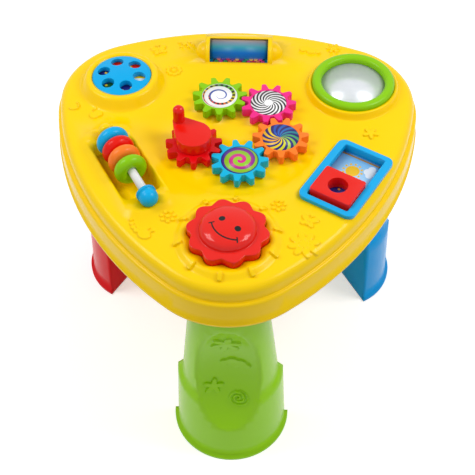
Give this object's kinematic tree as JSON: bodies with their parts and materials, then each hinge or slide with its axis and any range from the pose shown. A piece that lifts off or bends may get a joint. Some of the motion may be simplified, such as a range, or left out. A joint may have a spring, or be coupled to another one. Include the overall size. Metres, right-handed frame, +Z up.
{
  "type": "musical activity table",
  "caption": "Three-legged toddler activity table with meshing gears and a crank, dial, mirror, sun music button, bead roller, picture slider and a rod of rings.",
  "frame": {"origin": "on the floor, under the middle of the bounding box", "axes": "+Z up; +Y towards the back, where the roller is; -Y towards the sun button and the front leg"},
  "size_m": [0.3884, 0.3812, 0.3463],
  "materials": {
    "shell_yellow": "glossy",
    "leg_green": "glossy",
    "leg_red": "glossy",
    "leg_blue": "glossy",
    "crimson": "glossy",
    "red": "glossy",
    "blue": "glossy",
    "light_blue": "glossy",
    "orange": "glossy",
    "pink": "glossy",
    "green": "glossy",
    "printed": "printed",
    "mirror_film": "polished",
    "clear_smoke": "clear",
    "bead_colours": "glossy",
    "white": "glossy",
    "inner_ivory": "matte",
    "steel": "brushed",
    "black": "matte",
    "board": "matte",
    "rubber": "matte",
    "cell_wrap": "satin",
    "wire_red": "matte",
    "wire_black": "matte"
  },
  "bodies": {
    "table": {"top_shell": "shell_yellow", "bottom_cover": "shell_yellow", "leg_front": "leg_green", "leg_back_left": "leg_red", "leg_back_right": "leg_blue", "case_screws": "steel", "gear_washers": "steel", "gear_screws": "steel", "sun_spring": "steel", "circuit_board": "board", "music_chip": "black", "speaker_frame": "black", "speaker_cone": "black", "speaker_magnet": "steel", "batteries": "cell_wrap", "battery_contacts": "steel", "battery_springs": "steel", "power_switch_body": "black", "speaker_wires": "wire_red", "battery_wires": "wire_black", "mirror_ring": "green", "mirror_disc": "mirror_film", "dial_picture": "printed", "roller_bearings": "inner_ivory", "slider_frame": "light_blue", "slider_picture": "printed", "abacus_rod": "white", "rod_mount_front": "blue", "rod_mount_back": "shell_yellow", "trim_screws": "steel"},
    "crank": {"crank_gear": "crimson", "crank_handle": "red"},
    "blue_gear": {"gear_blue": "light_blue", "label_blue": "printed"},
    "orange_gear": {"gear_orange": "orange", "label_orange": "printed"},
    "pink_gear": {"gear_pink": "pink", "label_pink": "printed"},
    "green_gear": {"gear_green": "green", "label_green": "printed"},
    "sun": {"sun_button": "red", "sun_contact_pad": "rubber", "sun_clip": "steel"},
    "dial": {"dial_disc": "light_blue", "dial_washer": "steel", "dial_screw": "steel"},
    "roller": {"roller_tube": "clear_smoke", "roller_cap_left": "blue", "roller_cap_right": "blue", "roller_beads": "bead_colours"},
    "block": {"slider_block": "red"},
    "blue_ring": {"ring_blue": "blue"},
    "red_ring": {"ring_red": "red"},
    "orange_ring": {"ring_orange": "orange"},
    "green_ring": {"ring_green": "green"},
    "switch_knob": {"power_switch_knob": "red"},
    "door": {"battery_door": "shell_yellow", "battery_door_screw": "steel"}
  },
  "joints": [
    {"name": "crank_spin", "type": "hinge", "parent": "table", "child": "crank", "pos_m": [-0.0396, -0.00705, 0.3048], "axis": [0, 0, 1], "continuous": true},
    {"name": "blue_gear_spin", "type": "hinge", "parent": "table", "child": "blue_gear", "pos_m": [0.00745, -0.02919, 0.3048], "axis": [0, 0, 1], "continuous": true},
    {"name": "orange_gear_spin", "type": "hinge", "parent": "table", "child": "orange_gear", "pos_m": [0.0474, 0.0041, 0.3048], "axis": [0, 0, 1], "continuous": true},
    {"name": "pink_gear_spin", "type": "hinge", "parent": "table", "child": "pink_gear", "pos_m": [0.03412, 0.05437, 0.3048], "axis": [0, 0, 1], "continuous": true},
    {"name": "green_gear_spin", "type": "hinge", "parent": "table", "child": "green_gear", "pos_m": [-0.01706, 0.06358, 0.3048], "axis": [0, 0, 1], "continuous": true},
    {"name": "dial_spin", "type": "hinge", "parent": "table", "child": "dial", "pos_m": [-0.1228, 0.09011, 0.312], "axis": [0, 0, 1], "continuous": true},
    {"name": "roller_spin", "type": "hinge", "parent": "table", "child": "roller", "pos_m": [0, 0.14461, 0.3025], "axis": [1, 0, 0], "continuous": true},
    {"name": "sun_press", "type": "slide", "parent": "table", "child": "sun", "axis": [0, 0, -1], "range_m": [0, 0.0025], "stiffness_N_per_m": 300, "springref_m": -0.0015, "deforming": ["sun_spring"]},
    {"name": "green_ring_slide", "type": "slide", "parent": "table", "child": "green_ring", "axis": [0.5, -0.866, 0], "range_m": [-0.0025, 0.024]},
    {"name": "orange_ring_slide", "type": "slide", "parent": "table", "child": "orange_ring", "axis": [0.5, -0.866, 0], "range_m": [-0.00187, 0.018]},
    {"name": "red_ring_slide", "type": "slide", "parent": "table", "child": "red_ring", "axis": [0.5, -0.866, 0], "range_m": [-0.00125, 0.012]},
    {"name": "blue_ring_slide", "type": "slide", "parent": "table", "child": "blue_ring", "axis": [0.5, -0.866, 0], "range_m": [-0.00063, 0.006]},
    {"name": "block_slide", "type": "slide", "parent": "table", "child": "block", "axis": [0.5, 0.866, 0], "range_m": [-0.003, 0.039]},
    {"name": "power_switch", "type": "slide", "parent": "table", "child": "switch_knob", "axis": [0, 1, 0], "range_m": [0, 0.004]},
    {"name": "battery_door_off", "type": "slide", "parent": "table", "child": "door", "axis": [0, 0, -1], "range_m": [0, 0.03]}
  ],
  "couplings": [
    {"joint": "orange_ring_slide", "follows": "green_ring_slide", "ratio": 0.75},
    {"joint": "red_ring_slide", "follows": "green_ring_slide", "ratio": 0.5},
    {"joint": "blue_ring_slide", "follows": "green_ring_slide", "ratio": 0.25},
    {"joint": "blue_gear_spin", "follows": "crank_spin", "ratio": -1},
    {"joint": "orange_gear_spin", "follows": "crank_spin", "ratio": 1},
    {"joint": "pink_gear_spin", "follows": "crank_spin", "ratio": -1},
    {"joint": "green_gear_spin", "follows": "crank_spin", "ratio": 1}
  ]
}
